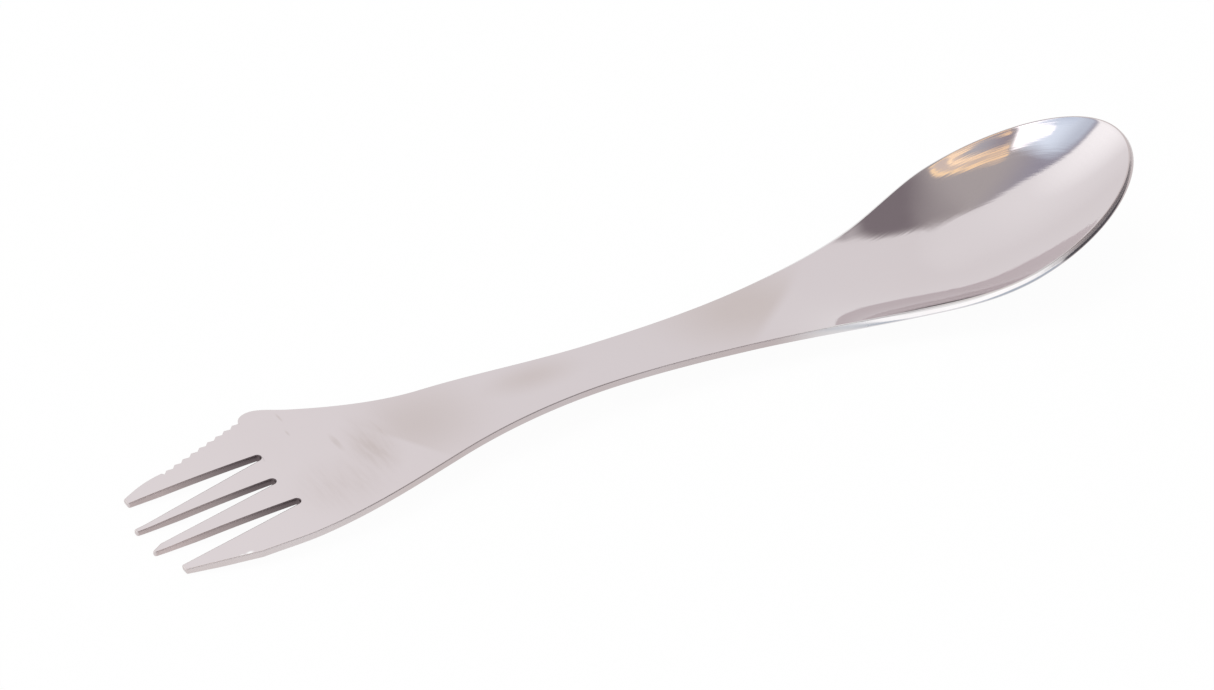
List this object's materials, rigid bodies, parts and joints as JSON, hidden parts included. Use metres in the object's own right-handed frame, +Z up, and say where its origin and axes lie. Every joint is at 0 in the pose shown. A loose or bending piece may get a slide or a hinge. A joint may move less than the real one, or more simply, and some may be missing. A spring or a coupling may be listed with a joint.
{
  "type": "spork",
  "caption": "Double-ended polished steel spork: oval spoon bowl, curved waisted handle and a dished fork end with a toothed outer edge.",
  "frame": {"origin": "centre of the bounding box, at the level of the table the utensil lies on", "axes": "+X from the tine tips towards the spoon tip, +Y towards the toothed edge, +Z up out of the bowl"},
  "size_m": [0.17, 0.0344, 0.017],
  "materials": {
    "polished_steel": "mirror polished stainless sheet"
  },
  "bodies": {
    "root": {"spork": "polished_steel"}
  },
  "joints": []
}
